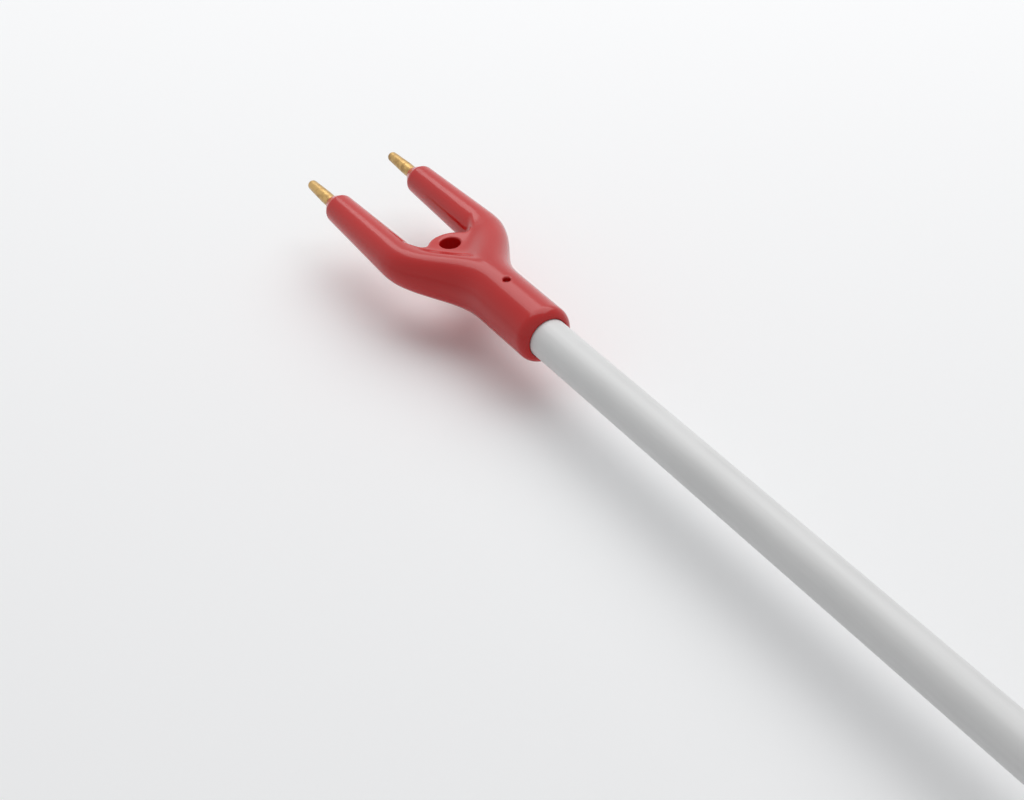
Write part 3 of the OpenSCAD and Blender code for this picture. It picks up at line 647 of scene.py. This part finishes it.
tube = {"radius": 6.0, "bore": 4.25, "chamfer": 0.3, "parts": 24, "sides": 128}
tubeStart, tubeEnd = along("shaft_tube", 0), along("shaft_tube", 1)
tubePart = (tubeEnd - tubeStart) / tube["parts"]
tubeRim = tube["radius"] - tube["chamfer"]
tubeLine = [(tubeStart, tube["bore"]), (tubeStart, tubeRim), (tubeStart + tube["chamfer"], tube["radius"])]
tubeLine += [(tubeStart + tubePart * i, tube["radius"]) for i in range(1, tube["parts"])]
tubeLine += [(tubeEnd - tube["chamfer"], tube["radius"]), (tubeEnd, tubeRim), (tubeEnd, tube["bore"])]
stand(turn("tube", tubeLine, 0, finishes["white_tube"], tube["sides"]), "handle", "white_tube", "shaft_tube")

# the flange sits in a groove of the shells, back and front are measured from their front end
ferrule = {
    "bore": 6.05, "radius": 9.0, "flange": 11.0, "flangeBack": 11.0, "flangeFront": 7.0, "lip": 10.4,
    "lipLength": 3.0, "end": 7.6, "endFrom": 75, "edge": 0.6, "gap": 0.05,
}
ferruleStart, ferruleEnd = along("shaft_ferrule", 0), along("shaft_ferrule", 1)
flangeBack, flangeFront = shellFront - ferrule["flangeBack"], shellFront - ferrule["flangeFront"]
ferruleEdge = ferrule["edge"]
ferruleLine = [
    (ferruleStart, ferrule["bore"]), (ferruleStart, ferrule["radius"]), (flangeBack, ferrule["radius"]),
    (flangeBack, ferrule["flange"]), (flangeFront, ferrule["flange"]), (flangeFront, ferrule["radius"]),
    (shellFront, ferrule["radius"]),
]
ferruleLine += roundPoints(shellFront + ferruleEdge, ferrule["lip"] - ferruleEdge, ferruleEdge, 180, 90)
ferruleLine += [(shellFront + ferrule["lipLength"], ferrule["lip"])]
ferruleLine += roundPoints(ferruleEnd - ferruleEdge, ferrule["end"] - ferruleEdge, ferruleEdge,
                           ferrule["endFrom"], 0)
ferruleLine += [(ferruleEnd, ferrule["bore"])]
stand(turn("ferrule", ferruleLine, 0, finishes["black_plastic"]), "handle", "black_plastic", "shaft_ferrule")
print("head and tube done")

# The handle: two shells of one rounded section, hollow for the cells and the circuit
shell = {
    "start": capFront, "end": shellFront, "spigotStart": along("handle_left", 0), "spigotRadius": 16.6,
    "rearBlend": 24.0, "noseBlend": 30.0, "rearRadius": 19.0, "halfWidth": 17.0, "halfHeight": 20.8,
    "noseRadius": 11.9, "waist": 0.7, "waistEnd": 236.0, "squareness": 2.6, "roundness": 2.0,
    "floor": floorLevel, "bayRadius": 13.6, "bayEnd": 226.0, "circuitStart": 236.0, "circuitEnd": 318.0,
    "circuitWidth": 14.0, "circuitHeight": 16.5, "circuitRound": 9.0,
    "noseBore": ferrule["radius"] + ferrule["gap"], "flangeBore": ferrule["flange"] + ferrule["gap"],
    "flangeBack": ferrule["flangeBack"] + ferrule["gap"],
    "flangeFront": ferrule["flangeFront"] - ferrule["gap"],
    "grooveFirst": 74.0, "groovePitch": 10.0, "grooveLast": 10.0, "grooveRadius": 1.6, "grooveDepth": 1.0,
    "grooveHeight": 12.0, "grooveFade": 3.0, "grooveLift": 2.0, "grooveEdge": 0.2,
    "slotStart": pivotAt - 47.4, "slotEnd": pivotAt + 5.4, "slotHalf": 6.0, "screwSeat": 5.5,
    "wellRadius": 2.9, "screwHeight": 16.3, "noseScrewHeight": 12.2, "screwRear": 70.0, "screwMid": 148.0,
    "screwFront": 231.0, "screwNose": shellFront - 19,
    "sealAt": (along("cap_seal", 0) + along("cap_seal", 1)) / 2, "sealHalf": 0.95, "sealFloor": 14.75,
    "edge": 0.9, "wellEdge": 2.2, "seamEdge": 1.5, "overlap": 1.0, "parting": 0.03, "side": 1.0,
}
shellGrid = {"reach": 20, "top": 22, "step": 0.71}
screwRows = (("screwRear", "screwHeight"), ("screwMid", "screwHeight"), ("screwFront", "screwHeight"),
             ("screwNose", "noseScrewHeight"))


def shellDistance(x, y, z, h):
    wide, high = abs(y), abs(z)
    rear = x.ease(h.start, h.start + h.rearBlend)
    nose = x.ease(h.end - h.noseBlend, h.end)
    gripShare = clampTo((x - h.start) / (h.waistEnd - h.start), 0.0, 1.0)
    swell = (gripShare * math.pi).math("SINE", gripShare * math.pi)
    width = blendTo(blendTo(h.rearRadius, h.halfWidth, rear), h.noseRadius, nose) - h.waist * swell * swell
    height = blendTo(blendTo(h.rearRadius, h.halfHeight, rear), h.noseRadius, nose)
    power = blendTo(blendTo(h.roundness, h.squareness, rear), h.roundness, nose)
    reach = ((wide / width) ** power + (high / height) ** power) ** (1.0 / power)
    body = (reach - 1.0) * (width + height) * 0.5
    body = roundedEdge(body, x - h.end, h.edge)
    body = roundedEdge(body, h.start - x, h.edge)
    around = distanceTo(y, z)
    body = least(body, most(around - h.spigotRadius, within(x, h.spigotStart, h.start + h.overlap)))
    body = most(body, h.floor - z, h.edge)
    index = clampTo((x - h.grooveFirst) / h.groovePitch, 0.0, h.grooveLast)
    fromGroove = x - h.grooveFirst - index.math("ROUND", index) * h.groovePitch
    fade = high.ease(h.grooveHeight - h.grooveFade, h.grooveHeight) * h.grooveLift * h.grooveDepth
    groove = distanceTo(fromGroove, body - h.grooveRadius + h.grooveDepth - fade) - h.grooveRadius
    slot = most(within(x, h.slotStart, h.slotEnd), most(wide - h.slotHalf, h.circuitHeight - h.overlap - z))
    wells = [distanceTo(x - getattr(h, place), high - getattr(h, height)) for place, height in screwRows]
    nearest = wells[0]
    for other in wells[1:]:
        nearest = least(nearest, other)
    well = most(nearest - h.wellRadius, h.screwSeat - y)
    body = most(body, -groove, h.grooveEdge)
    body = most(body, -slot, h.edge)
    body = most(body, -well, h.wellEdge)
    corner = distanceTo(most(wide - h.circuitWidth + h.circuitRound, 0.0),
                        most(high - h.circuitHeight + h.circuitRound, 0.0)) - h.circuitRound
    hollows = [
        most(around - h.bayRadius, x - h.bayEnd),
        most(corner, within(x, h.circuitStart, h.circuitEnd)),
        most(around - h.noseBore, h.circuitEnd - h.overlap - x),
        most(around - h.flangeBore, within(x, h.end - h.flangeBack, h.end - h.flangeFront)),
        most(h.sealFloor - around, abs(x - h.sealAt) - h.sealHalf),
    ]
    for hollow in hollows:
        body = most(body, -hollow)
    return most(body, h.parting - h.side * y, h.seamEdge)


shellTree = mouldTree("moulded shell", shell, shellDistance)
for name, side in (("handle_left", 1), ("handle_right", -1)):
    lowY, highY = sorted((-side * gridMargin, side * shellGrid["reach"]))
    piece = mould(name + "_shell", shellTree, {**shell, "side": side},
                  (shell["spigotStart"] - gridMargin, lowY, floorLevel - gridMargin),
                  (shellFront + gridMargin, highY, shellGrid["top"]),
                  shellGrid["step"], finishes["red_plastic"])
    stand(piece, "handle", "red_plastic", name)
print("handle done")

# The screw cap with its flutes and hanging eye
cap = {
    "rear": 13.0, "front": capFront, "radius": 19.0, "round": 5.0, "boreRadius": 16.9, "boreStart": 16.5,
    "fluteCount": 18.0, "fluteRadius": 1.7, "fluteDepth": 0.7, "fluteGap": 4.0, "eyeRadius": 6.6,
    "eyeHalf": 3.5, "eyeHole": 3.0, "edge": 0.8, "eyeRound": 1.2, "fillet": 2.0, "overlap": 2.0,
}
capStep = 0.5


def capDistance(x, y, z, c):
    around = distanceTo(y, z)
    body = roundedEdge(around - c.radius, c.rear - x, c.round)
    body = roundedEdge(body, x - c.front, c.edge)
    pitch = 2 * math.pi / c.fluteCount
    turned = y.math("ARCTAN2", y, z)
    offset = turned - pitch * turned.math("ROUND", turned / pitch)
    across = around * offset.math("SINE", offset)
    outward = around * offset.math("COSINE", offset) - (c.radius + c.fluteRadius - c.fluteDepth)
    past = most(within(x, c.rear + c.fluteGap, c.front - c.fluteGap), 0.0)
    body = most(body, c.fluteRadius - distanceTo(across, outward, past), c.edge)
    fromEye = distanceTo(x - c.eyeRadius, z)
    neck = most(within(x, c.eyeRadius, c.rear + c.overlap), abs(z) - c.eyeRadius)
    eye = roundedEdge(least(fromEye - c.eyeRadius, neck), abs(y) - c.eyeHalf, c.eyeRound)
    body = least(body, eye, c.fillet)
    body = most(body, c.eyeHole - fromEye, c.eyeRound)
    return most(body, -most(around - c.boreRadius, c.boreStart - x), c.edge)


capReach = cap["radius"] + gridMargin
capPiece = mould("cap", mouldTree("moulded cap", cap, capDistance), cap, (-gridMargin, -capReach, -capReach),
                 (capFront + gridMargin, capReach, capReach), capStep, finishes["black_plastic"])
stand(capPiece, "cap", "black_plastic", "battery_cap")

# The thumb lever, ridged across its pad
lever = {
    "rear": pivotAt - 46, "front": pivotAt - 9, "pivot": pivotAt, "pivotHeight": pivotHeight,
    "hubRadius": 4.0, "pinRadius": 1.55, "top": 25.0, "under": 13.0, "crownRadius": 110.0, "half": 5.5,
    "round": 2.6, "padInset": 3.0, "wedgeLength": 4.0, "sweep": 0.8, "fall": 0.4, "lipLength": 4.0,
    "lipThickness": 3.0, "nibAt": pivotAt - 20, "nibHeight": 11.5, "nibRadius": 2.0,
    "ridgeFirst": pivotAt - 40, "ridgePitch": 3.0, "ridgeLast": 5.0, "ridgeRadius": 0.7, "edge": 0.8,
    "overlap": 1.0,
}
leverStep = 0.4


def leverDistance(x, y, z, v):
    crownAt = (v.rear + v.front) * 0.5
    crown = distanceTo(x - crownAt, z - (v.top - v.crownRadius)) - v.crownRadius
    pad = most(roundedEdge(crown, v.rear - x, v.edge), most(x - v.front + v.padInset, v.under - z))
    length = v.front - v.rear
    padFront = v.top - length * length / (8.0 * v.crownRadius)    # height of the crown where the pad ends
    slope = (z - padFront + v.fall * (x - v.front)) / (1.0 + v.fall * v.fall) ** 0.5
    wedge = most(most(slope, crown, v.sweep), most(v.under - z, within(x, v.front - v.wedgeLength, v.pivot)))
    profile = least(pad, wedge)
    fromPin = distanceTo(x - v.pivot, z - v.pivotHeight)
    profile = least(profile, fromPin - v.hubRadius, v.edge)
    lip = most(within(x, v.rear - v.lipLength, v.rear + v.overlap),
               within(z, v.under, v.under + v.lipThickness))
    nibStem = most(abs(x - v.nibAt) - v.nibRadius, within(z, v.nibHeight, v.under + v.overlap))
    nib = least(nibStem, distanceTo(x - v.nibAt, z - v.nibHeight) - v.nibRadius)
    profile = least(profile, least(lip, nib))
    index = clampTo((x - v.ridgeFirst) / v.ridgePitch, 0.0, v.ridgeLast)
    ridgeAt = v.ridgeFirst + index.math("ROUND", index) * v.ridgePitch
    drop = (ridgeAt - crownAt) * (ridgeAt - crownAt) / (2.0 * v.crownRadius)
    ridge = distanceTo(x - ridgeAt, z - v.top + drop) - v.ridgeRadius
    profile = least(profile, ridge, v.ridgeRadius)
    body = roundedEdge(profile, abs(y) - v.half, v.edge)
    body = most(body, roundedEdge(abs(y) - v.half, z - v.top - v.ridgeRadius, v.round), v.edge)
    return most(body, v.pinRadius - fromPin)


leverReach = lever["half"] + gridMargin
leverPiece = mould("lever", mouldTree("moulded lever", lever, leverDistance), lever,
                   (lever["rear"] - lever["lipLength"] - gridMargin, -leverReach,
                    lever["nibHeight"] - lever["nibRadius"] - gridMargin),
                   (pivotAt + lever["hubRadius"] + gridMargin, leverReach, lever["top"] + 2 * gridMargin),
                   leverStep, finishes["black_plastic"])
stand(leverPiece, "lever", "black_plastic", "thumb_lever")

# Springs: one tree winds both, sizes in mm
coilInputs = {
    "Turns": "NodeSocketFloat", "Start radius": "NodeSocketFloat", "End radius": "NodeSocketFloat",
    "Height": "NodeSocketFloat", "Wire radius": "NodeSocketFloat", "Place": "NodeSocketVector",
    "Turn": "NodeSocketVector", "Finish": "NodeSocketMaterial",
}
springs = {
    "lever_spring": {"Turns": 6.0, "Start radius": 3.1, "End radius": 3.1, "Wire radius": 0.35},
    "cap_spring": {"Turns": 3.0, "Start radius": 9.0, "End radius": 5.0, "Wire radius": 0.5},
}
coil = {"pointsInTurn": 32, "wireSides": 12}


def coilTree():
    tree, take = newTree("wound coil", coilInputs)
    start = Term(tree)
    line = start.add("GeometryNodeCurveSpiral", {}, {
        "Resolution": coil["pointsInTurn"], "Rotations": take["Turns"], "Start Radius": take["Start radius"],
        "End Radius": take["End radius"], "Height": take["Height"]})
    section = start.add("GeometryNodeCurvePrimitiveCircle", {}, {
        "Resolution": coil["wireSides"], "Radius": take["Wire radius"]})
    wire = start.add("GeometryNodeCurveToMesh", {}, {
        "Curve": line, "Profile Curve": section, "Fill Caps": True})
    placed = start.add("GeometryNodeTransform", {}, {
        "Geometry": wire, "Translation": take["Place"], "Rotation": take["Turn"], "Scale": (mm, mm, mm)})
    smooth = start.add("GeometryNodeSetShadeSmooth", {}, {"Geometry": placed})
    return giveMesh(tree, smooth, take["Finish"])


# axis is the number of the coordinate that the spring lies along
def wind(tree, node, axis, body):
    low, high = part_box(node)
    wire = springs[node]["Wire radius"]
    place = (low + high) / 2
    place[axis] = low[axis] + wire * mm
    piece = grow(node + "_coil", tree, {
        **springs[node], "Height": (high[axis] - low[axis]) / mm - 2 * wire, "Place": place,
        "Turn": Vector((0, 0, 0) if axis == 2 else (0, math.pi / 2, 0)), "Finish": finishes["steel"]})
    stand(piece, body, "steel", node)
    return piece


windings = coilTree()
wind(windings, "cap_spring", 0, "cap_core")
leverCoil = wind(windings, "lever_spring", 2, "handle")
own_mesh(leverCoil)

# Screws of the shells, one form set on eight places
screw = {
    "shank": 1.5, "tip": -9.0, "seat": shell["screwSeat"], "headTop": 7.3, "headRadius": 2.7,
    "headRound": 0.9, "crossHalf": 0.45, "crossReach": 1.5, "crossDepth": 1.0, "crossEdge": 0.2,
    "overlap": 0.5,
}
screwGrid = {"margin": 0.5, "step": 0.2}


def screwDistance(x, y, z, k):
    around = distanceTo(x, z)
    shank = most(around - k.shank, within(y, k.tip, k.seat + k.overlap))
    head = most(roundedEdge(around - k.headRadius, y - k.headTop, k.headRound), k.seat - y)
    across = most(abs(x) - k.crossHalf, abs(z) - k.crossReach)
    upright = most(abs(z) - k.crossHalf, abs(x) - k.crossReach)
    cross = most(least(across, upright), k.headTop - k.crossDepth - y)
    return most(least(shank, head), -cross, k.crossEdge)


setInputs = {"Places": "NodeSocketGeometry", "Form": "NodeSocketObject", "Finish": "NodeSocketMaterial"}


def setTree():
    tree, take = newTree("screws in wells", setInputs)
    start = Term(tree)
    shape = start.add("GeometryNodeObjectInfo", {}, {"Object": take["Form"]}, "Geometry")
    points = start.add("GeometryNodeMeshToPoints", {}, {"Mesh": take["Places"]})
    copies = start.add("GeometryNodeInstanceOnPoints", {}, {"Points": points, "Instance": shape})
    return giveMesh(tree, copies, take["Finish"])


screwReach = screw["headRadius"] + screwGrid["margin"]
oneScrew = mould("oneScrew", mouldTree("moulded screw", screw, screwDistance), screw,
                 (-screwReach, screw["tip"] - screwGrid["margin"], -screwReach),
                 (screwReach, screw["headTop"] + screwGrid["margin"], screwReach),
                 screwGrid["step"], finishes["steel"], Vector((0, 0, 0)))
screwPlaces = [axisStart + Vector((shell[place], 0, sign * shell[height])) * mm
               for place, height in screwRows for sign in (1, -1)]
screwPiece = grow("screws", setTree(), {"Form": oneScrew, "Finish": finishes["steel"]}, screwPlaces)
bpy.data.objects.remove(oneScrew)
stand(screwPiece, "handle", "steel", "handle_screws")
print("cap, lever, springs and screws done")

# Floor, light and camera
room = {
    "floorHalf": 4.0, "floorColour": (0.95, 0.953, 0.957, 1), "floorShine": 0.2, "floorGloss": 0.6,
    "glossSpread": 0.2, "glossScale": 3.0, "seenColour": (1.0, 1.0, 1.0, 1),
    "skyColour": (0.955, 0.965, 0.98, 1), "skyStrength": 0.36,
}


def floorLook(where):
    return {"Roughness": room["floorGloss"] + where.noise(room["glossScale"]) * room["glossSpread"]}


floorMesh = bpy.data.meshes.new("floor")
floorSigns = ((-1, -1, 0), (1, -1, 0), (1, 1, 0), (-1, 1, 0))
floorMesh.from_pydata([Vector(signs) * room["floorHalf"] for signs in floorSigns], [], [(0, 1, 2, 3)])
floorShine = {"Base Color": room["floorColour"], "Specular IOR Level": room["floorShine"]}
floorMesh.materials.append(makeFinish("paleFloor", floorShine, floorLook))
floor = addObject("floor", floorMesh)

# the sky is white where it is seen or mirrored, and softer where it lights
world = bpy.data.worlds.new("studio")
world.use_nodes = True
bpy.context.scene.world = world
sky = Term(world.node_tree)
sky.tree.nodes.clear()
rays = ("Is Camera Ray", "Is Glossy Ray", "Is Transmission Ray")
seenBy = [sky.add("ShaderNodeLightPath", {}, {}, ray) for ray in rays]
lit = sky.add("ShaderNodeBackground", {}, {"Color": room["skyColour"], "Strength": room["skyStrength"]})
seen = sky.add("ShaderNodeBackground", {}, {"Color": room["seenColour"]})
share = least(seenBy[0] + seenBy[1] + seenBy[2], 1.0)
surface = sky.add("ShaderNodeMixShader", {}, {0: share, 1: lit, 2: seen})
sky.add("ShaderNodeOutputWorld", {}, {"Surface": surface}, None)

# one soft box: lengths in metres, power in watts
keyBox = {"place": (0.75, -0.45, 1.15), "aim": (0.2, 0.0, 0.0), "width": 1.7, "depth": 1.4, "power": 16.0}
lamp = bpy.data.lights.new("keyBox", "AREA")
lamp.shape = "RECTANGLE"
lamp.size, lamp.size_y = keyBox["width"], keyBox["depth"]
lamp.energy = keyBox["power"]
lampStand = addObject("keyBox", lamp)
lampStand.location = keyBox["place"]
towards = Vector(keyBox["aim"]) - Vector(keyBox["place"])
lampStand.rotation_euler = towards.to_track_quat("-Z", "Y").to_euler()

camera = {
    "place": (-0.0895, 0.21592, 0.31727),
    "right": (-0.5297202, -0.84621643, -0.05756959),
    "up": (0.48977778, -0.36059665, 0.79378069),
    "lens": 65.14, "sensor": 36.0, "near": 0.01, "far": 50.0,
}
lensData = bpy.data.cameras.new("camera")
lensData.sensor_width = camera["sensor"]
lensData.lens = camera["lens"]
lensData.clip_start, lensData.clip_end = camera["near"], camera["far"]
viewer = addObject("camera", lensData)
right, up = Vector(camera["right"]).normalized(), Vector(camera["up"])
back = right.cross(up).normalized()
up = back.cross(right)
viewer.matrix_world = Matrix.Translation(camera["place"]) @ Matrix((right, up, back)).transposed().to_4x4()
bpy.context.scene.camera = viewer
bpy.context.scene.view_settings.view_transform = "Standard"
